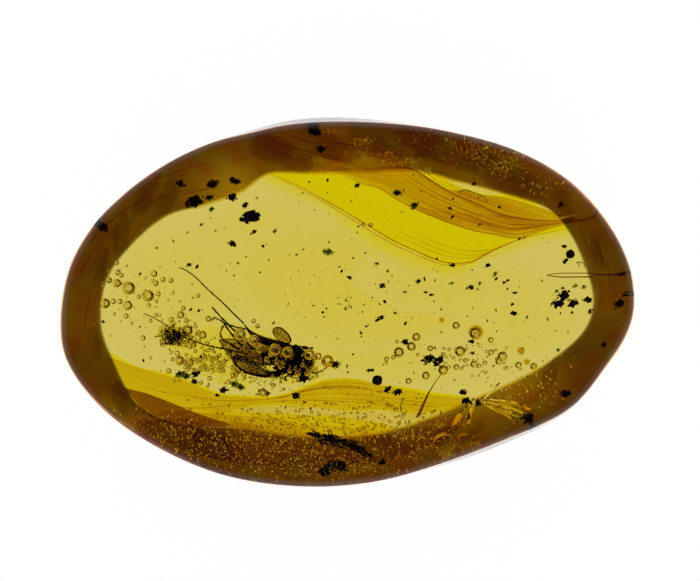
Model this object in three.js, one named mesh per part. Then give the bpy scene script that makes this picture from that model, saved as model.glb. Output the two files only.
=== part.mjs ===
// A polished pebble of amber: a flat window ground into its base, a bevel round it, and a gently domed top.
// Millimetres, +Z up. The origin is the middle of the bounding box's lowest face, with the base on Z = 0.
import * as THREE from "three";

const LENGTH = 30;
const WIDTH = 19.4;
const HEIGHT = 7;

// Heights of the side's parts, from the bevel's top to where the dome meets the shoulder.
const GIRDLE_Z = 4.0;
const WALL_TOP_Z = 6.2;
const DOME_EDGE_Z = 6.6;

// The bevel is a straight slope at 1; above 1 it swells out.
const BEVEL_SWELL = 1.4;

// The wall over the girdle leans in, most of all at two strips; a higher sharpness makes a shorter strip.
const WALL_LEAN = 0.08;
const EXTRA_LEAN = 0.26;
const LEANING_STRIPS = [
  { azimuth: THREE.MathUtils.degToRad(100), sharpness: 8 },
  { azimuth: THREE.MathUtils.degToRad(318), sharpness: 10 },
];

// The shoulder's width, and how much of a quarter ellipse it follows before the dome takes over.
const SHOULDER_WIDTH = 0.45;
const SHOULDER_ARC = THREE.MathUtils.degToRad(68);

// How flat the dome stays before it drops to its edge.
const DOME_POWER = 4;

const AZIMUTH_STEPS = 108;
const BEVEL_STEPS = 8;
const WALL_STEPS = 2;
const SHOULDER_STEPS = 6;
const DOME_STEPS = 6;

// Stations round the pebble, anticlockwise from +X: the girdle's point and the base window's point.
const STATIONS = [
  [[15.0, 0.3], [12.8, 0.3]],
  [[14.6, 2.4], [12.3, 2.1]],
  [[13.3, 4.7], [11.6, 3.6]],
  [[11.3, 6.7], [10.5, 4.85]],
  [[8.6, 8.15], [8.1, 5.6]],
  [[5.5, 9.05], [5.8, 6.2]],
  [[2.5, 9.6], [3.6, 6.75]],
  [[-0.5, 9.85], [1.0, 6.65]],
  [[-3.0, 9.7], [-1.7, 6.6]],
  [[-5.2, 9.15], [-4.1, 6.6]],
  [[-7.3, 8.5], [-5.6, 5.6]],
  [[-9.5, 7.4], [-7.5, 5.0]],
  [[-11.6, 5.9], [-9.4, 4.5]],
  [[-13.4, 4.05], [-11.3, 3.0]],
  [[-14.65, 1.7], [-12.6, 1.2]],
  [[-15.05, -1.2], [-12.9, -1.0]],
  [[-14.5, -3.4], [-12.3, -2.8]],
  [[-12.55, -5.75], [-11.0, -5.2]],
  [[-9.7, -7.65], [-8.9, -6.15]],
  [[-6.45, -8.98], [-5.6, -6.3]],
  [[-2.8, -9.55], [-2.6, -6.7]],
  [[1.0, -9.4], [0.8, -6.7]],
  [[4.8, -8.55], [3.5, -6.0]],
  [[8.4, -7.3], [6.4, -4.8]],
  [[11.7, -5.6], [9.2, -3.6]],
  [[13.65, -3.2], [11.05, -2.5]],
  [[14.7, -1.4], [12.4, -1.2]],
];

// A closed curve through the points, passing a point at each whole number of the parameter.
function closedCurve(points) {
  const corners = points.map(([x, y]) => new THREE.Vector3(x, y, 0));
  return new THREE.CatmullRomCurve3(corners, true, "catmullrom", 0.5);
}

// The girdle's and the window edge's points at each azimuth step, brought to the overall length and width.
function outlines() {
  const girdleCurve = closedCurve(STATIONS.map((station) => station[0]));
  const windowCurve = closedCurve(STATIONS.map((station) => station[1]));
  const girdle = [];
  const window = [];
  for (let i = 0; i < AZIMUTH_STEPS; i++) {
    girdle.push(girdleCurve.getPoint(i / AZIMUTH_STEPS));
    window.push(windowCurve.getPoint(i / AZIMUTH_STEPS));
  }
  const box = new THREE.Box3().setFromPoints(girdle);
  const middle = box.getCenter(new THREE.Vector3());
  const size = box.getSize(new THREE.Vector3());
  const fit = new THREE.Vector3(LENGTH / size.x, WIDTH / size.y, 1);
  for (const point of [...girdle, ...window]) point.sub(middle).multiply(fit);
  return { girdle, window };
}

// The point moved towards the pebble's axis by the distance and set at the height.
function inset(point, distance, z) {
  return point.clone().multiplyScalar(1 - distance / point.length()).setZ(z);
}

// How far the wall leans in at the azimuth of the point.
function leanAt(point) {
  const azimuth = Math.atan2(point.y, point.x);
  const nearness = (strip) => Math.max(0, Math.cos(azimuth - strip.azimuth)) ** strip.sharpness;
  return WALL_LEAN + EXTRA_LEAN * Math.max(...LEANING_STRIPS.map(nearness));
}

// One column of points, from the base window's edge over the girdle to the last ring before the dome's top.
function column(girdlePoint, windowPoint) {
  const points = [];
  for (let i = 0; i < BEVEL_STEPS; i++) {
    const rise = i / BEVEL_STEPS;
    const outward = 1 - (1 - rise) ** BEVEL_SWELL;
    points.push(windowPoint.clone().lerp(girdlePoint, outward).setZ(rise * GIRDLE_Z));
  }
  const lean = leanAt(girdlePoint);
  for (let i = 0; i < WALL_STEPS; i++) {
    const rise = i / WALL_STEPS;
    points.push(inset(girdlePoint, lean * rise, GIRDLE_Z + rise * (WALL_TOP_Z - GIRDLE_Z)));
  }
  for (let i = 0; i < SHOULDER_STEPS; i++) {
    const angle = (i / SHOULDER_STEPS) * SHOULDER_ARC;
    const inward = (1 - Math.cos(angle)) / (1 - Math.cos(SHOULDER_ARC));
    const rise = Math.sin(angle) / Math.sin(SHOULDER_ARC);
    const z = WALL_TOP_Z + rise * (DOME_EDGE_Z - WALL_TOP_Z);
    points.push(inset(girdlePoint, lean + SHOULDER_WIDTH * inward, z));
  }
  const domeEdge = inset(girdlePoint, lean + SHOULDER_WIDTH, DOME_EDGE_Z);
  for (let i = 0; i < DOME_STEPS; i++) {
    const reach = 1 - i / DOME_STEPS;
    const z = HEIGHT - (HEIGHT - DOME_EDGE_Z) * reach ** DOME_POWER;
    points.push(domeEdge.clone().multiplyScalar(reach).setZ(z));
  }
  return points;
}

// The closed skin: rings of quads between the columns, with a fan on the base and one on the dome.
function pebbleGeometry() {
  const { girdle, window } = outlines();
  const columns = girdle.map((point, i) => column(point, window[i]));
  const rings = columns[0].length;
  const vertices = columns.flat();
  const baseMiddle = vertices.push(new THREE.Vector3(0, 0, 0)) - 1;
  const domeMiddle = vertices.push(new THREE.Vector3(0, 0, HEIGHT)) - 1;
  const faces = [];
  for (let i = 0; i < AZIMUTH_STEPS; i++) {
    const here = i * rings;
    const next = ((i + 1) % AZIMUTH_STEPS) * rings;
    faces.push(baseMiddle, next, here);
    for (let k = 0; k < rings - 1; k++) {
      faces.push(here + k, next + k, next + k + 1);
      faces.push(here + k, next + k + 1, here + k + 1);
    }
    faces.push(here + rings - 1, next + rings - 1, domeMiddle);
  }
  const geometry = new THREE.BufferGeometry().setFromPoints(vertices);
  geometry.setIndex(faces);
  geometry.computeVertexNormals();
  return geometry;
}

// Clear honey-yellow resin.
function amberMaterial() {
  return new THREE.MeshStandardMaterial({ color: 0xcbb93c, roughness: 0.08, metalness: 0 });
}

function amber() {
  const mesh = new THREE.Mesh(pebbleGeometry(), amberMaterial());
  mesh.name = "amber";
  return mesh;
}

const part = new THREE.Group();
part.add(amber());

export default part;
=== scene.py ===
"""Insect in amber: a clear honey-yellow pebble on a pale light table, seen from straight above."""
import math
import random

import bmesh
import bpy
from mathutils import Matrix, Vector, noise


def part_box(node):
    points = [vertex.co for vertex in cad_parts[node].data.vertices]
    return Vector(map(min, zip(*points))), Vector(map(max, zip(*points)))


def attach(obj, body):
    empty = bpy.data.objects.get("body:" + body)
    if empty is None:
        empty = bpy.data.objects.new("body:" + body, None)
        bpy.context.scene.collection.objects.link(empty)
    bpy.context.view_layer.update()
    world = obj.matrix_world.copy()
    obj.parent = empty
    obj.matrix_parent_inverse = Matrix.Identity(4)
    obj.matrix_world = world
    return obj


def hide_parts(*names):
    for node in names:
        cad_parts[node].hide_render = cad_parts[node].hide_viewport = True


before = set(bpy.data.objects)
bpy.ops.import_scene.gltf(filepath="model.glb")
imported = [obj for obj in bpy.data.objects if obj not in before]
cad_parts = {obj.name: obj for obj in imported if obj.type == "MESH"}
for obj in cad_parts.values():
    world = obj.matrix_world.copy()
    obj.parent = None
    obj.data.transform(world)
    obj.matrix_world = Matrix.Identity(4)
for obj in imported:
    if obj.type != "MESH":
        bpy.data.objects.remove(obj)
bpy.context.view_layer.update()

# The design below is in millimetres on a pebble 30 mm long; UNIT brings it to the CAD's size, in metres.
DESIGN_LENGTH = 30.0
LOW, HIGH = (Vector(corner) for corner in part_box("amber"))
UNIT = (HIGH.x - LOW.x) / DESIGN_LENGTH
HEIGHT = (HIGH.z - LOW.z) / UNIT
HALF_LENGTH = (HIGH.x - LOW.x) / UNIT / 2
HALF_WIDTH = (HIGH.y - LOW.y) / UNIT / 2

# The pebble's side, as in the CAD: bevel, wall, shoulder and dome.
GIRDLE_Z = 4.0
WALL_TOP_Z = 6.2
DOME_EDGE_Z = 6.6
BEVEL_SWELL = 1.4
WALL_LEAN = 0.08
EXTRA_LEAN = 0.26
LEANING_STRIPS = ((math.radians(100), 8), (math.radians(318), 10))
SHOULDER_WIDTH = 0.45
SHOULDER_ARC = math.radians(68)
DOME_POWER = 4

# How finely the pebble's skin is divided.
AZIMUTH_STEPS = 324
BEVEL_STEPS = 14
WALL_STEPS = 4
SHOULDER_STEPS = 14
DOME_STEPS = 24

# Stations round the pebble, anticlockwise from +X: the girdle's point and the base window's point.
STATIONS = (
    ((15.0, 0.3), (12.8, 0.3)),
    ((14.6, 2.4), (12.3, 2.1)),
    ((13.3, 4.7), (11.6, 3.6)),
    ((11.3, 6.7), (10.5, 4.85)),
    ((8.6, 8.15), (8.1, 5.6)),
    ((5.5, 9.05), (5.8, 6.2)),
    ((2.5, 9.6), (3.6, 6.75)),
    ((-0.5, 9.85), (1.0, 6.65)),
    ((-3.0, 9.7), (-1.7, 6.6)),
    ((-5.2, 9.15), (-4.1, 6.6)),
    ((-7.3, 8.5), (-5.6, 5.6)),
    ((-9.5, 7.4), (-7.5, 5.0)),
    ((-11.6, 5.9), (-9.4, 4.5)),
    ((-13.4, 4.05), (-11.3, 3.0)),
    ((-14.65, 1.7), (-12.6, 1.2)),
    ((-15.05, -1.2), (-12.9, -1.0)),
    ((-14.5, -3.4), (-12.3, -2.8)),
    ((-12.55, -5.75), (-11.0, -5.2)),
    ((-9.7, -7.65), (-8.9, -6.15)),
    ((-6.45, -8.98), (-5.6, -6.3)),
    ((-2.8, -9.55), (-2.6, -6.7)),
    ((1.0, -9.4), (0.8, -6.7)),
    ((4.8, -8.55), (3.5, -6.0)),
    ((8.4, -7.3), (6.4, -4.8)),
    ((11.7, -5.6), (9.2, -3.6)),
    ((13.65, -3.2), (11.05, -2.5)),
    ((14.7, -1.4), (12.4, -1.2)),
)

AMBER_IOR = 1.54

# The bevel under the girdle is less well polished than the window and the dome.
BEVEL_ROUGHNESS = 0.37

# Absorption per metre of red, green and blue light.
CLEAR_RESIN = (49, 76, 310)

WHITE = (1, 1, 1)
BLACK = (0, 0, 0)


# ---------------------------------------------------------------- shapes

class Shape:
    """The vertices and faces of one joined mesh, in millimetres."""

    def __init__(self):
        self.vertices = []
        self.faces = []

    def add(self, vertices, faces):
        start = len(self.vertices)
        self.vertices.extend(vertices)
        self.faces.extend(tuple(start + i for i in face) for face in faces)


def curve_point(points, t, closed=False):
    """The Catmull-Rom curve through the points, at a parameter that counts them."""
    n = len(points)
    k = min(int(t), n - 1 if closed else n - 2)
    u = t - k
    if closed:
        around = [points[(k + j) % n] for j in (-1, 0, 1, 2)]
    else:
        around = [points[min(max(k + j, 0), n - 1)] for j in (-1, 0, 1, 2)]
    p0, p1, p2, p3 = (Vector(p) for p in around)
    slope = p2 - p0
    bend = 2 * p0 - 5 * p1 + 4 * p2 - p3
    twist = 3 * p1 - p0 - 3 * p2 + p3
    return (2 * p1 + slope * u + bend * u * u + twist * u ** 3) / 2


def smooth_path(points, count, closed=False):
    """The curve through the points, as that many points."""
    n = len(points)
    if closed:
        return [curve_point(points, i / count * n, True) for i in range(count)]
    return [curve_point(points, i / (count - 1) * (n - 1)) for i in range(count)]


def at_height(points, z):
    """Flat points, all lifted to the height."""
    return [(x, y, z) for x, y in points]


def ball_template(level):
    """A sphere of radius 1 made of triangles."""
    mesh = bmesh.new()
    bmesh.ops.create_icosphere(mesh, subdivisions=level, radius=1)
    mesh.verts.ensure_lookup_table()
    template = ([v.co.copy() for v in mesh.verts], [tuple(v.index for v in f.verts) for f in mesh.faces])
    mesh.free()
    return template


BALLS = {level: ball_template(level) for level in (1, 2, 3, 4)}


def add_ball(shape, centre, radii, level=2, turn=0.0, lumps=0.0, grain=1.6, hollow=False):
    """An ellipsoid, turned about Z and made uneven by noise; a hollow one faces inwards."""
    vertices, faces = BALLS[level]
    centre = Vector(centre)
    own_noise = 7.3 * centre
    rotation = Matrix.Rotation(turn, 3, "Z")
    placed = []
    for v in vertices:
        swell = 1 + lumps * noise.noise(v * grain + own_noise) if lumps else 1
        placed.append(centre + rotation @ Vector((v.x * radii[0], v.y * radii[1], v.z * radii[2])) * swell)
    shape.add(placed, [face[::-1] for face in faces] if hollow else faces)


def add_bubble(shape, x, y, z, radius):
    add_ball(shape, (x, y, z), (radius, radius, radius), level=3, hollow=True)


def add_tube(shape, path, radii, sides=6, tall=1.0):
    """A tube along the path, with one radius a point, closed at both ends; tall stretches it upwards."""
    path = [Vector(p) for p in path]
    rings = []
    for i, point in enumerate(path):
        along = (path[min(i + 1, len(path) - 1)] - path[max(i - 1, 0)]).normalized()
        side = along.cross(Vector((0, 0, 1)))
        side = side.normalized() if side.length > 0.05 else Vector((1, 0, 0))
        up = side.cross(along)
        for j in range(sides):
            angle = 2 * math.pi * j / sides
            rings.append(point + radii[i] * (math.cos(angle) * side + tall * math.sin(angle) * up))
    faces = []
    for i in range(len(path) - 1):
        for j in range(sides):
            k = (j + 1) % sides
            faces.append((i * sides + k, i * sides + j, (i + 1) * sides + j, (i + 1) * sides + k))
    last = (len(path) - 1) * sides
    faces.append(tuple(range(sides)))
    faces.append(tuple(last + j for j in reversed(range(sides))))
    shape.add(rings, faces)


def add_taper(shape, points, thick, thin, steps=12, sides=6):
    """A smooth tube through the points that thins from one end to the other."""
    radii = [thick + (thin - thick) * i / (steps - 1) for i in range(steps)]
    add_tube(shape, smooth_path(points, steps), radii, sides)


def add_hair(shape, root, tip, radii, sides=4, middle=0.5):
    """A short straight hair, with its radii at the root, part of the way along and at the tip."""
    add_tube(shape, (root, root.lerp(tip, middle), tip), radii, sides)


def add_slab(shape, outline, low, high, drift):
    """A closed body over an outline, whose sides wander and drift between its two heights."""
    count = len(outline)
    layers = 6
    vertices = []
    for k in range(layers + 1):
        rise = k / layers
        for i, point in enumerate(outline):
            wander = 0.12 * noise.noise(Vector((point.x * 0.6, point.y * 0.6, rise * 1.5 + low)))
            x = point.x + (rise - 0.5) * drift[0] + wander
            y = point.y + (rise - 0.5) * drift[1] + wander
            vertices.append((x, y, low + (high - low) * rise))
    faces = [tuple(reversed(range(count))), tuple(layers * count + i for i in range(count))]
    for k in range(layers):
        for i in range(count):
            j = (i + 1) % count
            faces.append((k * count + i, k * count + j, (k + 1) * count + j, (k + 1) * count + i))
    shape.add(vertices, faces)


def add_skin(shape, point_at, rows, across, thickness):
    """A thin closed skin over the points that point_at gives for u and v from 0 to 1."""
    start = len(shape.vertices)
    width = across + 1
    side_size = (rows + 1) * width
    for lift in (0, thickness):
        for i in range(rows + 1):
            for j in range(width):
                shape.vertices.append(point_at(i / rows, j / across) + Vector((0, 0, lift)))

    def add_face(*corners):
        shape.faces.append(tuple(start + side * side_size + i * width + j for side, i, j in corners))

    for i in range(rows):
        for j in range(across):
            add_face((1, i, j), (1, i + 1, j), (1, i + 1, j + 1), (1, i, j + 1))
            add_face((0, i, j), (0, i, j + 1), (0, i + 1, j + 1), (0, i + 1, j))
        add_face((0, i, 0), (0, i + 1, 0), (1, i + 1, 0), (1, i, 0))
        add_face((1, i, across), (1, i + 1, across), (0, i + 1, across), (0, i, across))
    for j in range(across):
        add_face((1, 0, j), (1, 0, j + 1), (0, 0, j + 1), (0, 0, j))
        add_face((0, rows, j), (0, rows, j + 1), (1, rows, j + 1), (1, rows, j))


def make_piece(name, shape, material, smooth=True):
    """A mesh piece from a shape in millimetres, riding on the pebble."""
    mesh = bpy.data.meshes.new(name)
    mesh.from_pydata([Vector(v) * UNIT for v in shape.vertices], [], shape.faces)
    mesh.polygons.foreach_set("use_smooth", [smooth] * len(mesh.polygons))
    mesh.materials.append(material)
    mesh.update()
    piece = bpy.data.objects.new(name, mesh)
    bpy.context.scene.collection.objects.link(piece)
    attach(piece, "root")
    return piece


# ---------------------------------------------------------------- materials

def new_material(name):
    """An empty material, with its node tree and its output."""
    material = bpy.data.materials.new(name)
    material.use_nodes = True
    tree = material.node_tree
    tree.nodes.clear()
    output = tree.nodes.new("ShaderNodeOutputMaterial")
    return material, tree, output


def add_principled(tree, output, colour, roughness, transmission, ior):
    """The surface shader, linked to the output."""
    shader = tree.nodes.new("ShaderNodeBsdfPrincipled")
    shader.inputs["Base Color"].default_value = (*colour, 1)
    shader.inputs["Roughness"].default_value = roughness
    shader.inputs["Transmission Weight"].default_value = transmission
    shader.inputs["IOR"].default_value = ior
    tree.links.new(shader.outputs["BSDF"], output.inputs["Surface"])
    return shader


def add_absorption(tree, output, per_metre):
    """A volume that takes this much red, green and blue light per metre."""
    volume = tree.nodes.new("ShaderNodeVolumeAbsorption")
    strongest = max(per_metre)
    volume.inputs["Density"].default_value = strongest
    volume.inputs["Color"].default_value = (*(1 - amount / strongest for amount in per_metre), 1)
    tree.links.new(volume.outputs["Volume"], output.inputs["Volume"])


def add_noise(tree, scale, detail=3.0):
    """Noise over the piece's own millimetres."""
    coordinates = tree.nodes.new("ShaderNodeTexCoord")
    texture = tree.nodes.new("ShaderNodeTexNoise")
    texture.inputs["Scale"].default_value = scale / UNIT
    texture.inputs["Detail"].default_value = detail
    tree.links.new(coordinates.outputs["Object"], texture.inputs["Vector"])
    return texture


def add_ramp(tree, factor, low, high, start=0.35, end=0.65):
    """A colour that goes from low to high as the factor goes from start to end."""
    ramp = tree.nodes.new("ShaderNodeValToRGB")
    ramp.color_ramp.elements[0].position = start
    ramp.color_ramp.elements[0].color = (*low, 1)
    ramp.color_ramp.elements[1].position = end
    ramp.color_ramp.elements[1].color = (*high, 1)
    tree.links.new(factor, ramp.inputs["Fac"])
    return ramp


def add_bumps(tree, shader, factor, strength, height):
    """Bumps in the surface, up to the height in millimetres."""
    bump = tree.nodes.new("ShaderNodeBump")
    bump.inputs["Strength"].default_value = strength
    bump.inputs["Distance"].default_value = height * UNIT
    tree.links.new(factor, bump.inputs["Height"])
    tree.links.new(bump.outputs["Normal"], shader.inputs["Normal"])


def clear_material(name, ior, per_metre=None):
    """A see-through material, which may take this much red, green and blue light per metre."""
    material, tree, output = new_material(name)
    add_principled(tree, output, WHITE, 0.0, 1.0, ior)
    if per_metre:
        add_absorption(tree, output, per_metre)
    return material


def amber_material():
    """Clear resin that swallows blue first, then green, matt on its bevel and polished everywhere else."""
    material, tree, output = new_material("amber_resin")
    shader = add_principled(tree, output, WHITE, 0.0, 1.0, AMBER_IOR)
    coordinates = tree.nodes.new("ShaderNodeTexCoord")
    parts = tree.nodes.new("ShaderNodeSeparateXYZ")
    height = tree.nodes.new("ShaderNodeMath")
    height.operation = "DIVIDE"
    height.inputs[1].default_value = HEIGHT * UNIT
    tree.links.new(coordinates.outputs["Object"], parts.inputs["Vector"])
    tree.links.new(parts.outputs["Z"], height.inputs[0])
    girdle_share = GIRDLE_Z / HEIGHT
    finish = add_ramp(tree, height.outputs["Value"], BLACK, BLACK, 0.0, girdle_share + 0.06)
    for share in (0.01, girdle_share):
        stop = finish.color_ramp.elements.new(share)
        stop.color = (BEVEL_ROUGHNESS, BEVEL_ROUGHNESS, BEVEL_ROUGHNESS, 1)
    tree.links.new(finish.outputs["Color"], shader.inputs["Roughness"])
    polish = add_noise(tree, 0.5, detail=2.0)
    add_bumps(tree, shader, polish.outputs["Fac"], 0.03, 0.3)
    add_absorption(tree, output, CLEAR_RESIN)
    return material


def flow_material(name, per_metre):
    """A flow of more deeply coloured resin, with no surface of its own."""
    return clear_material(name, 1.0, per_metre)


def film_material(name, thin, thick, scale, turn=0.0, stretch=1.0):
    """A see-through film whose tint varies, in streaks at an angle where it is stretched."""
    material, tree, output = new_material(name)
    shader = add_principled(tree, output, thin, 0.0, 1.0, 1.0)
    texture = add_noise(tree, scale)
    coordinates = texture.inputs["Vector"].links[0].from_socket
    turned = tree.nodes.new("ShaderNodeVectorRotate")
    turned.rotation_type = "Z_AXIS"
    turned.inputs["Angle"].default_value = turn
    stretched = tree.nodes.new("ShaderNodeVectorMath")
    stretched.operation = "MULTIPLY"
    stretched.inputs[1].default_value = (1 / stretch, 1, 1)
    tree.links.new(coordinates, turned.inputs["Vector"])
    tree.links.new(turned.outputs["Vector"], stretched.inputs[0])
    tree.links.new(stretched.outputs["Vector"], texture.inputs["Vector"])
    ramp = add_ramp(tree, texture.outputs["Fac"], thin, thick)
    tree.links.new(ramp.outputs["Color"], shader.inputs["Base Color"])
    return material


def bubble_material(name="bubble_gas", ior=1.5):
    """Gas in resin: the outer ring of each bubble bends light away."""
    return clear_material(name, ior)


def dark_material(name, low, high, scale, roughness):
    """A dark, grainy solid, a little shiny against the resin."""
    material, tree, output = new_material(name)
    shader = add_principled(tree, output, low, roughness, 0.0, 1.15)
    grain = add_noise(tree, scale, detail=4.0)
    ramp = add_ramp(tree, grain.outputs["Fac"], low, high)
    tree.links.new(ramp.outputs["Color"], shader.inputs["Base Color"])
    add_bumps(tree, shader, grain.outputs["Fac"], 0.5, 0.03)
    return material


def tissue_material(name, per_metre):
    """Thin chitin and plant tissue: dark where it is thick, brown or green at its edges."""
    return clear_material(name, 1.02, per_metre)


# ---------------------------------------------------------------- the pebble

def outlines(count):
    """The girdle and the base window, brought to the pebble's length and width."""
    girdle = smooth_path([s[0] for s in STATIONS], count, closed=True)
    window = smooth_path([s[1] for s in STATIONS], count, closed=True)
    low_x, high_x = min(p.x for p in girdle), max(p.x for p in girdle)
    low_y, high_y = min(p.y for p in girdle), max(p.y for p in girdle)
    scale_x = 2 * HALF_LENGTH / (high_x - low_x)
    scale_y = 2 * HALF_WIDTH / (high_y - low_y)
    for point in girdle + window:
        point.x = (point.x - (low_x + high_x) / 2) * scale_x
        point.y = (point.y - (low_y + high_y) / 2) * scale_y
    return girdle, window


def inset(point, distance, z):
    """The point moved towards the pebble's axis and set at the height."""
    near = point * (1 - distance / point.length)
    return Vector((near.x, near.y, z))


def pebble_column(girdle, window):
    """Points from the base window's edge over the girdle to the ring before the dome's top."""
    points = []
    for i in range(BEVEL_STEPS):
        rise = i / BEVEL_STEPS
        flat = window.lerp(girdle, 1 - (1 - rise) ** BEVEL_SWELL)
        points.append(Vector((flat.x, flat.y, rise * GIRDLE_Z)))
    azimuth = math.atan2(girdle.y, girdle.x)
    shares = [max(0, math.cos(azimuth - strip)) ** sharpness for strip, sharpness in LEANING_STRIPS]
    lean = WALL_LEAN + EXTRA_LEAN * max(shares)
    for i in range(WALL_STEPS):
        rise = i / WALL_STEPS
        points.append(inset(girdle, lean * rise, GIRDLE_Z + rise * (WALL_TOP_Z - GIRDLE_Z)))
    for i in range(SHOULDER_STEPS):
        angle = i / SHOULDER_STEPS * SHOULDER_ARC
        inward = (1 - math.cos(angle)) / (1 - math.cos(SHOULDER_ARC))
        rise = math.sin(angle) / math.sin(SHOULDER_ARC)
        z = WALL_TOP_Z + rise * (DOME_EDGE_Z - WALL_TOP_Z)
        points.append(inset(girdle, lean + SHOULDER_WIDTH * inward, z))
    edge = inset(girdle, lean + SHOULDER_WIDTH, DOME_EDGE_Z)
    for i in range(DOME_STEPS):
        reach = 1 - i / DOME_STEPS
        z = HEIGHT - (HEIGHT - DOME_EDGE_Z) * reach ** DOME_POWER
        points.append(Vector((edge.x * reach, edge.y * reach, z)))
    return points


def make_pebble():
    """The pebble's skin: the CAD's curves in finer steps."""
    girdle, window = outlines(AZIMUTH_STEPS)
    columns = [pebble_column(g, w) for g, w in zip(girdle, window)]
    rings = len(columns[0])
    dome_middle = AZIMUTH_STEPS * rings
    vertices = [point for column in columns for point in column] + [Vector((0, 0, HEIGHT))]
    faces = [tuple(i * rings for i in reversed(range(AZIMUTH_STEPS)))]
    for i in range(AZIMUTH_STEPS):
        here = i * rings
        after = (i + 1) % AZIMUTH_STEPS * rings
        for k in range(rings - 1):
            faces.append((here + k, after + k, after + k + 1, here + k + 1))
        faces.append((here + rings - 1, after + rings - 1, dome_middle))
    shape = Shape()
    shape.add(vertices, faces)
    pebble = make_piece("amber_pebble", shape, amber_material())
    pebble.data.polygons[0].use_smooth = False
    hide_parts("amber")


# The rim's inside, from a little over the bevel to a little under the dome.
RIM_FLOOR_GAP = 0.15
RIM_TOP_Z = 6.1
RIM_STEPS = 540
GIRDLE, WINDOW = outlines(RIM_STEPS)


def rim_point(station, outward, height):
    """A point in the rim: station round it, outward from window edge to girdle, height from bevel to dome."""
    i = int(station / len(STATIONS) * RIM_STEPS) % RIM_STEPS
    flat = WINDOW[i].lerp(GIRDLE[i], outward)
    floor = GIRDLE_Z * (1 - (1 - outward) ** (1 / BEVEL_SWELL)) + RIM_FLOOR_GAP
    return flat.x, flat.y, floor + (RIM_TOP_Z - floor) * height


# ---------------------------------------------------------------- flows of resin

# The flows' edges run from left to right and end under the rim; LOW_BOTTOM runs back from right to left.
# UPPER_CORNERS close the two upper flows, and BOTTOM_FLOW is a closed outline.
OUTER_EDGE = (
    (-4.7, 6.5), (-2.0, 5.3), (-0.5, 4.4), (1.0, 3.3), (2.5, 2.4), (4.0, 1.8), (5.2, 1.5), (6.2, 1.7),
    (7.2, 2.2), (8.5, 2.7), (10.0, 3.2), (11.6, 3.5),
)
MAIN_EDGE = (
    (-4.6, 6.8), (-3.5, 6.4), (-2.0, 5.7), (0.0, 4.6), (2.0, 3.4), (3.2, 2.8), (4.6, 2.2), (5.5, 2.0),
    (6.5, 2.1), (7.5, 2.6), (8.6, 3.1), (9.6, 3.4), (11.6, 3.8),
)
ORANGE_EDGE = (
    (-1.1, 6.9), (0.5, 6.2), (1.6, 5.9), (2.6, 5.3), (3.8, 4.7), (5.3, 4.1), (6.6, 3.7), (7.6, 3.5),
    (8.7, 3.3), (9.6, 3.5), (10.6, 3.8), (11.8, 4.1),
)
CREST_EDGE = (
    (2.3, 7.0), (3.5, 6.8), (4.3, 6.3), (5.3, 5.7), (6.2, 5.3), (7.1, 4.9), (8.1, 4.5), (9.1, 4.3),
    (10.2, 4.2), (11.8, 4.2),
)
PALE_EDGE = (
    (4.2, 7.3), (5.0, 6.5), (5.8, 6.0), (7.0, 5.6), (8.4, 5.5), (9.2, 5.3), (10.2, 4.8), (11.8, 4.3),
)
UPPER_CORNERS = ((2.0, 7.9), (-1.5, 7.7), (-4.6, 7.3))
LOW_TOP = (
    (-12.6, -2.8), (-11.0, -3.4), (-10.0, -3.7), (-8.6, -4.1), (-6.8, -4.8), (-5.0, -5.0), (-3.4, -4.9),
    (-2.0, -4.4), (-0.8, -4.1), (0.6, -4.1), (2.0, -4.4), (3.6, -4.7), (5.0, -4.9), (6.4, -5.0),
)
LOW_BOTTOM = (
    (6.2, -5.4), (4.0, -5.7), (2.0, -5.6), (0.0, -5.6), (-2.5, -5.4), (-4.2, -5.3), (-6.0, -5.6),
    (-7.5, -6.4), (-10.0, -6.2), (-12.4, -4.4),
)
LOW_MIDDLE = (
    (-11.8, -3.9), (-9.5, -4.7), (-7.4, -5.2), (-5.0, -5.2), (-3.0, -5.1), (-1.0, -5.1), (1.0, -4.8),
    (3.0, -4.9), (6.0, -5.1),
)
BOTTOM_FLOW = (
    (-8.0, -5.9), (-5.5, -5.8), (-3.0, -6.0), (-0.5, -6.1), (1.2, -6.4), (2.2, -7.0), (0.5, -8.2),
    (-3.0, -8.6), (-7.0, -7.8),
)

# The edges of the sheets between the flows, the edges of a crescent of painted shade along the window's
# lower-left edge, and the crest's line where it runs on under the rim.
ORANGE_TOP = (
    (-1.0, 7.9), (0.8, 7.6), (2.2, 7.3), (3.5, 6.85), (4.3, 6.35), (5.3, 5.8), (6.2, 5.75), (7.2, 5.5),
    (8.6, 5.3), (10.2, 4.8), (11.8, 4.3),
)
LOW_RIM = ((-11.0, -6.2), (-8.0, -7.8), (-4.0, -8.5), (0.0, -8.5), (3.5, -7.7), (6.0, -6.4))
BOTTOM_TOP = ((-9.5, -5.6), (-6.0, -5.9), (-4.0, -6.0), (-2.0, -6.4), (1.5, -6.6))
BOTTOM_MIDDLE = ((-9.0, -6.0), (-6.0, -6.2), (-3.5, -6.6), (-1.0, -6.9), (1.5, -6.9))
CRESCENT_TOP = ((-11.7, -4.45), (-10.6, -4.75), (-9.5, -5.15), (-8.3, -5.65), (-7.2, -6.05), (-6.2, -6.35))
CRESCENT_BOTTOM = ((-11.6, -4.6), (-11.1, -5.15), (-10.5, -5.78), (-9.5, -6.2), (-8.25, -6.42), (-6.4, -6.5))
CREST_IN_RIM = ((11.4, 4.15), (12.2, 4.2), (12.6, 4.3), (13.0, 4.4))

# The rim's veils: where they bend down and where they end, outward from window to girdle, and their foot.
VEIL_BEND = 0.72
VEIL_END = 0.96
VEIL_FOOT_Z = 4.35


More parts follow.
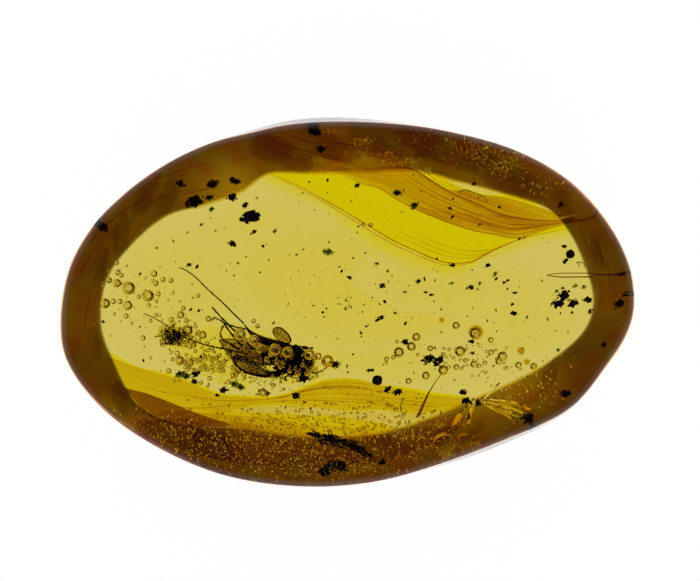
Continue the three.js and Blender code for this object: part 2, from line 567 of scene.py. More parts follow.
# The clear resin's haze and the brown stain round the insect, as lobes: each a place and three radii.
HAZE_LOBES = (
    ((0.5, 0.8, 3.6), (7.5, 3.4, 1.6)), ((-3.0, 3.0, 2.6), (4.5, 1.8, 1.0)),
    ((4.5, 1.0, 4.6), (4.5, 1.6, 1.0)), ((8.5, -0.5, 3.4), (3.5, 2.2, 1.0)),
    ((-8.5, 0.5, 3.0), (3.5, 3.0, 0.8)), ((1.0, -2.8, 3.0), (5.0, 1.2, 1.1)),
)
STAIN_LOBES = (
    ((-6.9, -2.9, 3.2), (2.2, 1.0, 0.9)), ((-5.3, -2.6, 3.3), (2.4, 1.2, 0.9)),
    ((-8.9, -1.9, 3.4), (1.1, 0.7, 0.7)), ((-3.0, -3.3, 3.2), (1.7, 1.0, 0.9)),
    ((-6.6, -3.6, 3.0), (2.0, 0.7, 0.7)),
)


def between(edge_a, edge_b, along, share):
    """A point between two edges, at a share of their length and of the way across."""
    a = curve_point(edge_a, along * (len(edge_a) - 1))
    b = curve_point(edge_b, along * (len(edge_b) - 1))
    return a.lerp(b, share)


def flow_outline(*edges):
    """A closed outline from edges given one after another."""
    corners = [corner for edge in edges for corner in edge]
    return smooth_path(corners, 12 * len(corners), closed=True)


def make_flow(name, outline, low, high, per_metre, drift):
    """One flow, as a body over its outline."""
    shape = Shape()
    add_slab(shape, outline, low, high, drift)
    make_piece(name, shape, flow_material(name + "_resin", per_metre), smooth=False)


def make_lobes(name, lobes, turn, lumps, grain, per_metre):
    """Rounded, uneven patches of tinted resin, each with its place and its three radii."""
    shape = Shape()
    for place, radii in lobes:
        add_ball(shape, place, radii, level=4, turn=turn, lumps=lumps, grain=grain)
    make_piece(name, shape, flow_material(name + "_resin", per_metre))


def make_flows():
    """Flows that hardened one on another, as bodies with more colour than the clear resin."""
    outer = flow_outline(OUTER_EDGE, PALE_EDGE[::-1], UPPER_CORNERS)
    main = flow_outline(MAIN_EDGE, PALE_EDGE[::-1], UPPER_CORNERS)
    make_flow("flow_outer", outer, 1.6, 3.0, (1, 4, 900), (0.1, 0.5))
    make_flow("flow_main", main, 3.1, 5.6, (6, 14, 1500), (0.0, 0.1))
    make_flow("flow_low", flow_outline(LOW_TOP, LOW_BOTTOM), 1.8, 4.2, (4, 10, 1200), (0.0, 0.2))
    make_flow("flow_bottom", flow_outline(BOTTOM_FLOW), 3.1, 5.2, (4, 14, 1200), (0.3, 0.3))
    make_lobes("flow_haze", HAZE_LOBES, -0.15, 0.15, 1.2, (0, 3, 170))
    make_lobes("flow_stain", STAIN_LOBES, -0.3, 0.3, 1.6, (24, 42, 900))


def add_veil(shape, seed, nearest, first, last):
    """A wavy sheet under the skin of the rim, from one station to another, that bends down to the girdle."""
    top = 1.7 - 0.04 * seed

    def point_at(u, v):
        station = first + (last - first) * u
        angle = 2 * math.pi * station / len(STATIONS)
        around = Vector((math.cos(angle), math.sin(angle), 0.6 * seed))
        start = min(0.8, max(0.03, nearest + 0.3 * noise.noise(around * 2.2)))
        outward = start + (VEIL_END - start) * v
        x, y, _ = rim_point(station, outward, 0.5)
        drop = max(0.0, (outward - VEIL_BEND) / (VEIL_END - VEIL_BEND))
        return Vector((x, y, VEIL_FOOT_Z + top * math.sqrt(max(0.0, 1 - drop ** 2))))

    add_skin(shape, point_at, int(11 * (last - first)), 8, 0.015)


def make_rim_veils():
    """Uneven layers of redder resin in the rim, most of them at the top."""
    shape = Shape()
    all_round = len(STATIONS)
    for seed, (nearest, first, last) in enumerate((
        (0.06, 0, all_round), (0.26, 0, all_round), (0.5, 0, all_round), (0.06, 5.0, 9.2), (0.3, 0.5, 3.0),
    )):
        add_veil(shape, seed, nearest, first, last)
    veil = film_material("rim_veil", (1.0, 1.0, 0.7), (1.0, 0.84, 0.5), 0.8)
    make_piece("rim_veils", shape, veil)


def make_rim_clouds():
    """Soft clouds of dark brown resin in the rim: a row along its top, and small ones all round."""
    shape = Shape()
    draws = random.Random(37)
    for x, y in ((-3.5, 7.75), (-1.0, 8.05), (1.5, 8.15), (4.0, 8.0), (6.5, 7.3), (8.7, 6.2)):
        add_ball(shape, (x, y, 4.6), (1.9, 0.75, 0.6), level=3, turn=-0.3, lumps=0.4)
    for _ in range(26):
        x, y, z = rim_point(draws.uniform(0, len(STATIONS)), draws.uniform(0.2, 0.6), 0.5)
        size = draws.uniform(0.5, 1.3)
        along_rim = math.atan2(y, x) + math.pi / 2
        add_ball(shape, (x, y, z), (size, 0.4 * size, 0.35 * size), level=3, turn=along_rim, lumps=0.7)
    make_piece("rim_clouds", shape, flow_material("cloud_resin", (450, 700, 1100)))


def add_sheet(shape, edge_a, edge_b, z, tilt, start=0.0, point=0.0):
    """A thin wavy sheet between two edges, tilted across, which may widen from a point on the first."""
    def point_at(u, v):
        along = start + (1 - start) * u
        if point:
            v *= min(1.0, u / point)
        flat = between(edge_a, edge_b, along, v)
        wave = 0.25 * noise.noise(Vector((flat.x * 0.4, flat.y * 0.4, z)))
        return Vector((flat.x, flat.y, z + tilt * v + wave))

    add_skin(shape, point_at, 60, 8, 0.02)


def make_flow_sheets():
    """Orange and brown layers between the flows, each too thin to see from the side, and a dark brown
    crescent of painted shade just inside the window's lower-left edge.
    """
    orange, brown, edge_shade = Shape(), Shape(), Shape()
    last = len(ORANGE_TOP) - 1
    for i in range(4):
        lower = []
        for k in range(last + 1):
            edge = curve_point(ORANGE_EDGE, k * (len(ORANGE_EDGE) - 1) / last)
            lower.append(tuple(edge.lerp(curve_point(ORANGE_TOP, k), 0.06 * i)))
        add_sheet(orange, lower, ORANGE_TOP, 2.0 + 0.7 * i, 0.3, point=0.25)
    add_sheet(brown, ORANGE_EDGE, CREST_EDGE, 3.0, 0.2, start=0.3, point=0.5)
    for z in (2.8, 3.2):
        add_sheet(orange, LOW_TOP, LOW_MIDDLE, z, 0.1)
    add_sheet(orange, LOW_MIDDLE, LOW_BOTTOM[::-1], 2.6, 0.3)
    add_sheet(orange, LOW_MIDDLE, LOW_RIM, 3.4, -0.2)
    add_sheet(brown, BOTTOM_TOP, LOW_RIM, 2.8, -0.2)
    add_sheet(brown, BOTTOM_MIDDLE, LOW_RIM, 3.7, -0.2)
    add_sheet(edge_shade, CRESCENT_TOP, CRESCENT_BOTTOM, 0.75, -0.1)
    streaks = math.radians(21)
    orange_film = film_material("orange_film", (0.96, 0.9, 0.6), (0.9, 0.8, 0.4), 1.2, streaks, 12.0)
    make_piece("flow_orange_sheets", orange, orange_film)
    brown_film = film_material("brown_film", (0.95, 0.86, 0.4), (0.8, 0.62, 0.2), 1.6, streaks, 10.0)
    make_piece("flow_brown_sheets", brown, brown_film)
    # Painted shade: a dark brown sheet just inside the window's lower-left edge, where the rim's darkness
    # begins.
    edge_shade_film = film_material("edge_shade_film", (0.45, 0.26, 0.02), (0.33, 0.16, 0.01), 0.8, streaks, 3.0)
    make_piece("flow_edge_shade", edge_shade, edge_shade_film)


def make_rim_painted_shade():
    """Browner resin all round the window, inside the rim: painted shade that deepens the rim's dark brown."""
    section = (
        (0.03, 0.0), (0.5, 0.0), (0.9, 0.0), (0.93, 0.5), (0.9, 0.97), (0.5, 0.99), (0.15, 0.97), (0.06, 0.5),
    )
    steps = RIM_STEPS // 2
    sides = len(section)
    vertices, faces = [], []
    for i in range(steps):
        station = i / steps * len(STATIONS)
        after = (i + 1) % steps * sides
        for outward, height in section:
            vertices.append(rim_point(station, outward, height))
        for j in range(sides):
            k = (j + 1) % sides
            faces.append((i * sides + j, after + j, after + k, i * sides + k))
    shape = Shape()
    shape.add(vertices, faces)
    # Painted shade: this resin's extra green and blue absorption darkens the rim.
    make_piece("rim_painted_shade", shape, flow_material("rim_painted_shade_resin", (8, 85, 600)))


def between_edges(edge_a, edge_b, share, start, end):
    """A path that runs between two edges, from one part of their length to another."""
    steps = 40
    return [between(edge_a, edge_b, start + (end - start) * i / (steps - 1), share) for i in range(steps)]


def add_line(shape, path, z, width, height):
    """A thin upright film along a path, which fades out at both ends."""
    count = len(path)
    radii = [width / 2 * min(1.0, 0.15 + 4 * min(i, count - 1 - i) / count) for i in range(count)]
    add_tube(shape, [(p[0], p[1], z) for p in path], radii, tall=height / width)


def make_flow_lines():
    """The brown films between the flows."""
    bold, faint = Shape(), Shape()
    draws = random.Random(21)
    for edge, z, width in (
        (MAIN_EDGE, 4.6, 0.06), (ORANGE_EDGE, 3.6, 0.05), (CREST_EDGE, 3.6, 0.09), (CREST_IN_RIM, 4.4, 0.12),
    ):
        add_line(bold, smooth_path(edge, 120), z, width, 0.8)
    add_line(bold, between_edges(OUTER_EDGE, MAIN_EDGE, 0.75, 0.05, 0.75), 3.4, 0.04, 0.6)
    for _ in range(22):
        start = draws.uniform(0.0, 0.55)
        end = min(1.0, start + draws.uniform(0.25, 0.6))
        path = between_edges(ORANGE_EDGE, CREST_EDGE, draws.uniform(0.03, 0.97), start, end)
        shape = draws.choice((bold, faint, faint, faint))
        add_line(shape, path, draws.uniform(2.0, 4.2), draws.uniform(0.02, 0.07), 0.5)
    for count, edge_a, edge_b, nearest, widest in (
        (3, MAIN_EDGE, ORANGE_EDGE, 0.05, 0.07), (6, CREST_EDGE, PALE_EDGE, 0.1, 0.06),
    ):
        for _ in range(count):
            start = draws.uniform(0.05, 0.4)
            path = between_edges(edge_a, edge_b, draws.uniform(nearest, 0.9), start, start + 0.5)
            add_line(faint, path, draws.uniform(3.4, 5.0), draws.uniform(0.03, widest), 0.5)
    for _ in range(9):
        start = draws.uniform(0.0, 0.6)
        end = min(1.0, start + draws.uniform(0.2, 0.5))
        path = between_edges(LOW_TOP, LOW_BOTTOM[::-1], draws.uniform(0.1, 0.9), start, end)
        add_line(faint, path, draws.uniform(2.0, 4.2), draws.uniform(0.03, 0.08), 0.5)
    for _ in range(9):
        left = draws.uniform(-6.5, -2.0)
        drop = draws.uniform(-0.3, 0.7)
        path = [(left + 0.25 * k, 8.4 - drop - 0.075 * k) for k in range(draws.randint(10, 22))]
        add_line(faint, path, draws.uniform(4.2, 5.4), draws.uniform(0.03, 0.08), 0.4)
    for _ in range(18):
        start = draws.uniform(0, len(STATIONS))
        outward = draws.uniform(0.1, 0.7)
        path = [rim_point(start + i * 0.05, outward + 0.005 * i, 0.5) for i in range(draws.randint(15, 40))]
        add_line(faint, path, path[0][2], draws.uniform(0.04, 0.12), 0.3)
    bold_film = film_material("line_film", (0.75, 0.5, 0.2), (0.5, 0.25, 0.05), 0.8)
    make_piece("flow_lines", bold, bold_film)
    faint_film = film_material("faint_film", (0.9, 0.8, 0.5), (0.72, 0.52, 0.2), 0.8)
    make_piece("flow_faint_lines", faint, faint_film)


# ---------------------------------------------------------------- bubbles

# Each bubble: x, y, radius.
LEFT_BUBBLES = (
    (-11.4, 0.7, 0.33), (-10.4, 0.3, 0.31), (-11.45, -0.2, 0.25), (-12.6, -0.1, 0.26), (-12.0, 0.95, 0.22),
    (-12.4, 1.1, 0.16), (-12.0, 1.5, 0.16), (-11.8, 1.35, 0.13), (-12.0, 2.0, 0.12), (-10.1, 1.45, 0.19),
    (-10.0, 0.95, 0.16), (-10.2, 1.1, 0.1), (-9.65, 1.15, 0.15), (-9.25, 1.1, 0.15), (-9.9, 0.4, 0.15),
    (-10.9, 0.25, 0.13), (-12.25, 0.0, 0.15), (-11.9, 0.0, 0.15), (-10.0, 0.0, 0.11), (-10.35, -0.2, 0.12),
    (-11.55, -0.75, 0.15), (-12.2, -0.65, 0.1), (-10.0, -0.7, 0.12), (-11.3, -1.15, 0.1),
    (-10.3, -1.0, 0.12), (-10.7, -1.9, 0.15), (-9.75, -2.15, 0.12), (-9.2, -0.95, 0.15), (-8.75, -0.7, 0.2),
    (-8.6, -0.35, 0.13), (-8.4, -1.0, 0.13), (-8.35, -1.5, 0.28), (-7.6, -1.75, 0.22), (-8.75, -3.05, 0.24),
    (-8.2, -3.15, 0.19), (-9.15, -3.0, 0.12), (-8.1, -2.25, 0.2), (-7.8, 0.3, 0.13), (-8.75, 0.0, 0.08),
    (-9.1, 0.45, 0.1), (-11.5, 1.85, 0.08), (-7.3, -0.9, 0.16),
)
RIGHT_BUBBLES = (
    (6.7, -1.65, 0.33), (5.7, -1.25, 0.2), (5.9, -2.6, 0.28), (2.7, -2.65, 0.27), (3.35, -2.35, 0.24),
    (3.6, -1.85, 0.22), (4.35, -2.45, 0.16), (5.0, -3.55, 0.26), (4.1, -3.85, 0.21), (8.1, -2.85, 0.26),
    (7.9, -3.1, 0.2), (7.5, -2.0, 0.16), (7.5, -2.65, 0.16), (5.7, -3.4, 0.16), (6.6, -3.25, 0.19),
    (6.9, -3.35, 0.13), (6.15, -3.05, 0.13), (8.95, -3.3, 0.18), (9.7, -3.35, 0.19), (8.3, -3.45, 0.12),
    (2.05, -3.0, 0.13), (2.4, -2.9, 0.13), (2.6, -2.1, 0.1), (5.0, -2.75, 0.12), (3.2, -4.15, 0.17),
    (7.2, -3.2, 0.13), (7.25, -3.7, 0.1), (4.9, -1.6, 0.08), (2.1, -5.4, 0.12), (2.5, -5.6, 0.13),
    (1.2, 4.0, 0.12), (0.8, 4.0, 0.1),
)
BODY_BUBBLES = (
    (-5.6, -1.72, 0.33), (-4.9, -2.02, 0.29), (-4.56, -2.47, 0.23), (-3.78, -2.51, 0.34),
    (-3.14, -2.64, 0.31), (-2.0, -2.75, 0.3), (-1.54, -2.84, 0.21), (-1.04, -3.09, 0.33),
    (-4.89, -1.01, 0.13), (-4.68, -1.27, 0.13), (-3.66, -3.14, 0.15), (-3.5, -3.4, 0.12),
    (-3.35, -3.15, 0.12), (-2.6, -3.74, 0.17), (-2.09, -3.72, 0.16), (-1.87, -3.5, 0.14),
    (-4.2, -3.0, 0.15), (-4.4, -4.75, 0.2), (-3.9, -3.9, 0.12), (-3.85, -4.35, 0.13), (-3.0, -3.6, 0.13),
    (-4.0, -2.75, 0.14), (-2.35, -3.3, 0.12), (-4.75, -2.3, 0.12), (-5.3, -2.0, 0.14),
)
EDGE_BUBBLES = (
    (5.0, -7.35, 0.6), (6.05, -7.2, 0.42), (6.65, -7.1, 0.22), (8.3, -6.6, 0.16), (0.9, -8.4, 0.17),
)


# The outer radius of the dark shell round a bubble, which is painted shade on its outline, and its gas, as
# shares of the bubble's radius.
SHADE_SHELL_GROWTH = 1.035
GAS_SHARE = 0.99

BODY_BUBBLE_Z = 5.3
EDGE_BUBBLE_Z = 4.8


def add_shade_shell(shape, x, y, z, radius):
    """A thin shell of dark resin round a bubble: painted shade that darkens its outline."""
    outer = SHADE_SHELL_GROWTH * radius
    add_ball(shape, (x, y, z), (outer, outer, outer), level=3)
    add_bubble(shape, x, y, z, radius)


def make_large_bubbles():
    """The bubbles placed one by one: loose ones with dark shells of painted shade on their outlines, those on
    the insect and at the lower edge.
    """
    gas, shade_shells, edge_gas = Shape(), Shape(), Shape()
    draws = random.Random(5)
    for x, y, radius in LEFT_BUBBLES + RIGHT_BUBBLES:
        z = draws.uniform(2.6, 4.6)
        add_bubble(gas, x, y, z, GAS_SHARE * radius)
        add_shade_shell(shade_shells, x, y, z, radius)
    for x, y, radius in BODY_BUBBLES:
        add_bubble(gas, x, y, BODY_BUBBLE_Z, radius)
    for x, y, radius in EDGE_BUBBLES:
        add_bubble(edge_gas, x, y, EDGE_BUBBLE_Z, radius)
    make_piece("bubbles", gas, bubble_material())
    # Painted shade: the shells' dark resin darkens the loose bubbles' outlines.
    make_piece("bubble_shade_shells", shade_shells, flow_material("bubble_shade_resin", (5000, 6800, 14000)))
    make_piece("edge_bubbles", edge_gas, bubble_material("edge_gas", 1.12))


def inside_pebble(x, y):
    """Whether a place is at least half a millimetre inside the girdle."""
    azimuth = math.atan2(y, x)

    def turn_to(point):
        return abs(math.remainder(math.atan2(point.y, point.x) - azimuth, 2 * math.pi))

    reach = min(GIRDLE, key=turn_to).length
    return math.hypot(x, y) < reach - 0.5


def add_cloud(shape, draws, count, centre, spread, heights, sizes, tall=1.0):
    """Tiny bubbles, thickest in the middle of an ellipse; tall stretches them upwards."""
    for _ in range(count):
        x = centre[0] + draws.gauss(0, spread[0])
        y = centre[1] + draws.gauss(0, spread[1])
        radius = sizes[0] + (sizes[1] - sizes[0]) * draws.random() ** 2
        z = draws.uniform(*heights)
        if inside_pebble(x, y):
            add_ball(shape, (x, y, z), (radius, radius, radius * tall), hollow=True)


# Froth round the insect and between the larger bubbles, each cloud: number, centre, spread, heights, radii.
FROTH_CLOUDS = (
    (300, (-6.5, -3.1), (1.3, 0.55), (3.0, 4.4), (0.04, 0.16)),
    (150, (-4.0, -3.9), (1.1, 0.35), (3.0, 4.4), (0.03, 0.1)),
    (26, (-3.3, -3.3), (0.6, 0.35), (4.7, 5.2), (0.05, 0.13)),
    (80, (-8.7, -1.5), (0.9, 0.7), (3.0, 4.6), (0.03, 0.12)),
    (60, (-10.8, 0.2), (1.0, 1.0), (2.4, 4.6), (0.02, 0.08)),
    (110, (6.6, -3.0), (1.8, 0.6), (2.4, 4.6), (0.03, 0.11)),
    (620, (-2.2, -6.3), (3.4, 0.45), (2.2, 4.8), (0.02, 0.09)),
    (90, (1.2, -5.5), (2.6, 0.5), (2.0, 4.4), (0.03, 0.1)),
)


def make_tiny_bubbles():
    shape = Shape()
    draws = random.Random(8)
    for cloud in FROTH_CLOUDS:
        add_cloud(shape, draws, *cloud)
    make_piece("bubble_froth", shape, bubble_material())


# Golden specks in the rim, each cloud: x, y, spread in x, spread in y, number.
RIM_CLOUDS = (
    (-4.5, -7.5, 3.0, 0.7, 700), (0.5, -7.9, 2.2, 0.65, 330), (-9.3, -6.9, 1.3, 0.5, 160),
    (-0.8, -8.7, 0.8, 0.3, 90), (3.8, -6.8, 0.8, 0.5, 90), (9.6, -4.9, 1.3, 0.5, 130),
    (6.7, 7.7, 0.6, 0.3, 220), (8.4, 7.0, 0.5, 0.35, 170), (4.6, 8.3, 1.0, 0.25, 80),
    (10.3, 6.0, 0.7, 0.3, 70), (-0.6, 8.75, 0.3, 0.08, 34), (0.9, 8.25, 0.35, 0.12, 40),
    (2.0, 7.6, 0.25, 0.12, 40), (2.9, 7.2, 0.4, 0.1, 50), (3.9, 6.8, 0.3, 0.12, 26),
    (0.2, 7.6, 1.6, 0.4, 60), (-3.5, -8.5, 2.8, 0.3, 200), (-10.5, -6.3, 1.3, 0.4, 70),
    (1.5, -8.7, 1.5, 0.3, 70), (5.0, -7.6, 1.2, 0.3, 50),
)


def make_rim_bubbles():
    """Golden specks: bubbles in the rim that catch the light from below."""
    shape = Shape()
    draws = random.Random(13)
    for x, y, spread_x, spread_y, count in RIM_CLOUDS:
        add_cloud(shape, draws, count, (x, y), (spread_x, spread_y), (4.4, 5.7), (0.02, 0.08), tall=1.4)
    make_piece("rim_bubbles", shape, bubble_material())


# ---------------------------------------------------------------- specks of bark and plant dust

# A crumb's grains spread this much wider than its size across.
CRUMB_SPREAD = 1.45

# Half axes of the ellipses that stand for the window's edge and for the dust's reach.
WINDOW_REACH = (13.0, 6.8)
DUST_REACH = (12.4, 6.4)

# Each crumb: x, y, size across, number that sets its count of grains.
DARK_CRUMBS = (
    (-5.1, 4.4, 0.8, 16), (-5.35, 5.0, 0.35, 5), (-7.0, 6.1, 0.6, 10), (-7.2, 5.4, 0.35, 6),
    (-8.7, 6.1, 0.5, 4), (-5.8, 6.2, 0.4, 6), (-6.0, 5.4, 0.5, 7), (-8.0, 5.2, 0.8, 8), (-6.0, 3.0, 0.4, 6),
    (-4.85, 3.65, 0.28, 4), (-4.4, 2.9, 0.2, 3), (-7.6, 4.0, 0.2, 3), (-8.3, 1.9, 0.28, 3),
    (-10.8, 1.4, 0.2, 2), (-12.7, -1.05, 0.22, 3), (-12.7, 3.85, 0.6, 8), (-1.7, 8.8, 0.55, 14),
    (-1.4, 7.9, 0.45, 5), (0.5, 6.0, 0.3, 3), (0.2, 5.2, 0.12, 1), (6.9, 4.0, 0.18, 2), (9.0, 3.25, 0.2, 2),
    (9.2, 3.3, 0.2, 2), (6.6, 6.1, 0.28, 3), (11.1, 5.0, 0.35, 4), (5.5, 1.9, 0.32, 4), (7.35, 1.9, 0.3, 4),
    (8.2, 1.0, 0.22, 3), (8.35, 1.1, 0.2, 2), (1.85, 0.85, 0.35, 4), (0.1, 1.25, 0.28, 3),
    (3.7, 1.05, 0.3, 4), (4.1, 0.5, 0.22, 3), (4.4, 0.35, 0.22, 3), (3.0, 0.5, 0.2, 2), (6.5, 0.75, 0.3, 4),
    (6.8, 0.65, 0.2, 2), (8.65, -0.6, 0.36, 5), (1.6, -0.95, 0.3, 4), (1.8, -0.85, 0.3, 4),
    (2.5, -0.6, 0.2, 2), (11.0, -0.1, 0.6, 8), (11.25, 0.3, 0.6, 8), (11.75, -0.1, 0.5, 6),
    (11.2, 0.7, 0.2, 3), (11.7, -0.55, 0.22, 2), (12.5, 0.1, 0.42, 6), (12.7, -0.5, 0.3, 3),
    (11.25, 2.85, 0.28, 3), (6.05, -4.7, 0.4, 5), (6.2, -5.1, 0.45, 6), (6.7, -5.2, 0.5, 7),
    (7.15, -5.0, 0.3, 4), (7.75, -5.3, 0.28, 3), (9.35, -6.0, 0.6, 7), (11.3, -4.75, 0.5, 6),
    (2.1, -4.6, 0.4, 5), (2.6, -4.7, 0.42, 6), (1.1, -3.6, 0.25, 3), (1.3, -3.6, 0.25, 3),
    (1.8, -8.3, 0.4, 4), (13.3, -2.2, 0.3, 4), (-7.9, -3.75, 0.4, 5), (-7.95, -4.15, 0.35, 5),
    (-6.5, -4.6, 0.45, 6), (-6.8, -4.85, 0.25, 3), (-4.4, -4.75, 0.5, 6), (-2.75, -4.95, 0.45, 6),
    (3.0, -2.1, 0.36, 5), (-2.3, -4.0, 0.5, 7), (-0.65, -3.25, 0.36, 5), (14.1, -0.1, 0.5, 6),
    (14.4, 0.4, 0.35, 4), (14.2, 1.4, 0.3, 4), (-0.9, -8.6, 0.8, 12), (-0.3, -8.5, 0.7, 9),
    (-1.3, -8.8, 0.5, 6), (6.5, -2.1, 0.3, 4), (6.55, -2.7, 0.25, 4), (4.25, -3.0, 0.55, 12),
    (4.75, -3.1, 0.5, 12),
)
GREEN_CRUMBS = (
    (-8.7, -3.75, 0.5, 7), (-8.4, -3.85, 0.5, 6), (-5.9, -4.3, 0.5, 6), (-5.6, -4.45, 0.45, 6),
    (4.1, -3.15, 0.3, 4), (2.55, 5.65, 0.45, 9), (3.5, 5.0, 0.45, 8), (5.4, 4.85, 0.28, 4),
    (-7.1, 4.8, 0.35, 5), (-3.8, 3.65, 0.3, 4), (-1.0, 2.6, 0.5, 8), (1.55, 2.0, 0.28, 4),
    (7.7, 1.45, 0.32, 4), (5.45, 0.95, 0.3, 3), (6.9, 0.95, 0.3, 3), (10.9, 0.55, 0.28, 3),
    (11.9, 0.8, 0.32, 4), (12.3, 0.75, 0.3, 4), (10.95, -2.5, 0.24, 3), (2.1, 1.6, 0.24, 3),
    (-2.3, 2.75, 0.2, 2), (-5.7, 2.0, 0.2, 2),
)
ROUND_SPECKS = (
    (11.6, 2.45, 0.23), (1.55, -4.1, 0.26), (-6.0, 6.3, 0.15), (11.3, 2.05, 0.1), (11.4, 2.15, 0.1),
)


def add_crumb(shape, draws, x, y, z, size, grains):
    """A ragged, drawn-out clump of uneven grains, larger in its middle."""
    direction = draws.uniform(-0.5, 0.9)
    spread = CRUMB_SPREAD * size
    for _ in range(4 * grains):
        share = draws.random()
        grain = spread * (0.17 - 0.12 * share) + 0.012
        angle = draws.uniform(0, 2 * math.pi)
        reach = share * (spread / 2 - grain / 2)
        along = reach * math.cos(angle)
        across = 0.6 * reach * math.sin(angle)
        dx = along * math.cos(direction) - across * math.sin(direction)
        dy = along * math.sin(direction) + across * math.cos(direction)
        centre = (x + dx, y + dy, z + draws.uniform(-0.12, 0.12))
        radii = (grain, grain * draws.uniform(0.4, 0.9), grain * draws.uniform(0.4, 0.9))
        level = 2 if grain > 0.05 else 1
        add_ball(shape, centre, radii, level, turn=draws.uniform(0, math.pi), lumps=1.1)


def rests_in_rim(x, y):
    """Whether a place lies outside an ellipse that stands for the window's edge."""
    return (x / WINDOW_REACH[0]) ** 2 + (y / WINDOW_REACH[1]) ** 2 > 1


def make_crumbs():
    """The crumbs, at any depth under the window and near the top in the rim, and a few round specks."""
    dark, green = Shape(), Shape()
    draws = random.Random(3)
    for shape, crumbs in ((dark, DARK_CRUMBS), (green, GREEN_CRUMBS)):
        for x, y, size, grains in crumbs:
            z = 5.2 if rests_in_rim(x, y) else draws.uniform(2.2, 5.4)
            add_crumb(shape, draws, x, y, z, size, grains)
    for x, y, radius in ROUND_SPECKS:
        add_ball(dark, (x, y, 4.4), (radius, radius, radius), level=3, lumps=0.25)
    dark_dust = dark_material("bark_dust", (0.012, 0.008, 0.004), (0.05, 0.03, 0.01), 9.0, 0.6)
    make_piece("dark_crumbs", dark, dark_dust)
    make_piece("green_crumbs", green, tissue_material("green_dust", (21000, 18000, 40000)))


def make_discs():
    """Flat golden-brown discs of denser resin among the bubbles on the right."""
    shape = Shape()
    for x, y, radius in ((9.1, -2.55, 0.21), (4.95, -0.97, 0.15), (9.4, -3.12, 0.17), (6.75, -1.6, 0.4)):
        add_ball(shape, (x, y, 2.4), (radius, radius, 0.15), level=3)
    make_piece("tan_discs", shape, tissue_material("disc_resin", (1500, 3000, 20000)))


def make_dust():
    """Fine dust all through the resin, two grains in three spread evenly and the third near the middle."""
    dark, soft = Shape(), Shape()
    draws = random.Random(17)
    for i in range(420):
        azimuth = draws.uniform(0, 2 * math.pi)
        reach = math.sqrt(draws.random()) if i % 3 else abs(draws.gauss(0, 0.4))
        x = DUST_REACH[0] * reach * math.cos(azimuth)
        y = DUST_REACH[1] * reach * math.sin(azimuth)
        size = 0.02 + 0.06 * draws.random() ** 3
        radii = (size * draws.uniform(1.0, 1.8), size, size)
        shape = dark if i % 2 else soft
        add_ball(shape, (x, y, draws.uniform(1.2, 5.8)), radii, level=1, turn=draws.uniform(0, 3), lumps=0.8)
    dark_dust = dark_material("fine_dust", (0.015, 0.012, 0.005), (0.05, 0.04, 0.01), 12.0, 0.7)
    make_piece("fine_dust", dark, dark_dust)
    make_piece("soft_dust", soft, tissue_material("soft_dust_tissue", (16000, 15000, 30000)))


SPLINTER_SPINE = (
    (-2.2, -6.85, 5.4), (-1.3, -7.05, 5.4), (-0.5, -7.25, 5.4), (0.2, -7.45, 5.4), (0.8, -7.7, 5.5),
    (1.2, -7.95, 5.4),
)

# A stray hair at the top, the hair loop at the right in two parts, and a hair at the lower edge.
HAIRS = (
    ((5.8, 5.65, 5), (6.1, 5.8, 5), (6.7, 5.6, 5), (7.1, 5.4, 5), (7.3, 5.1, 5)),
    ((11.9, 2.0, 4.4), (12.1, 2.05, 4.4), (12.3, 1.95, 4.4), (12.35, 1.75, 4.4)),
    ((12.05, 2.02, 4.4), (12.05, 1.85, 4.4), (12.0, 1.8, 4.4)),
    ((2.9, -5.0, 4), (2.75, -5.5, 4), (2.85, -5.9, 4), (2.7, -6.3, 4)),
)


def make_splinter():
    """A fibrous splinter under the lower edge of the window, with barbs, and a few stray hairs."""
    shape = Shape()
    draws = random.Random(29)
    steps = 8
    for _ in range(90):
        start = draws.uniform(0, 4)
        length = draws.uniform(0.3, 1.0)
        sway = Vector((0, draws.gauss(0, 0.12), draws.gauss(0, 0.08)))
        path = [curve_point(SPLINTER_SPINE, start + i / (steps - 1) * length) + sway for i in range(steps)]
        radii = [draws.uniform(0.012, 0.05) for _ in range(steps)]
        add_tube(shape, path, radii, sides=5)
    for _ in range(34):
        root = curve_point(SPLINTER_SPINE, draws.uniform(0.5, 4.9)) + Vector((0, draws.gauss(0, 0.08), 0))
        out = draws.uniform(-0.1, 0.35)
        side = draws.choice((-1, -1, 1))
        tip = root + Vector((out, side * draws.uniform(0.15, 0.45), 0))
        add_hair(shape, root, tip, (0.05, 0.035, 0.008), sides=5)
    for hair in HAIRS:
        add_taper(shape, hair, 0.025, 0.015, sides=5)
    fibre = dark_material("bark_fibre", (0.01, 0.006, 0.003), (0.06, 0.03, 0.01), 8.0, 0.6)
    make_piece("splinter", shape, fibre)


# ---------------------------------------------------------------- cracks

# Each fan: apex, the first and the last far corner, height, number of blades.
CRACK_FANS = (
    ((5.2, -6.6), (6.4, -5.2), (6.6, -5.15), 5.0, 7),
    ((6.2, -6.4), (6.5, -5.2), (6.6, -5.15), 5.0, 4),
    ((6.8, -5.1), (9.5, -5.5), (8.8, -6.2), 5.2, 12),
    ((7.2, -5.0), (9.0, -5.2), (9.4, -5.6), 5.4, 5),
)

# Each single bright gap: near end, far end, z, height, lean.
BRIGHT_GAPS = (
    ((6.9, -5.25), (7.9, -4.2), 5.0, 0.3, 0.3),
    ((7.5, 6.95), (8.2, 6.8), 5.2, 0.4, -0.3),
    ((11.0, 4.3), (11.9, 4.5), 4.8, 0.25, 0.35),
)

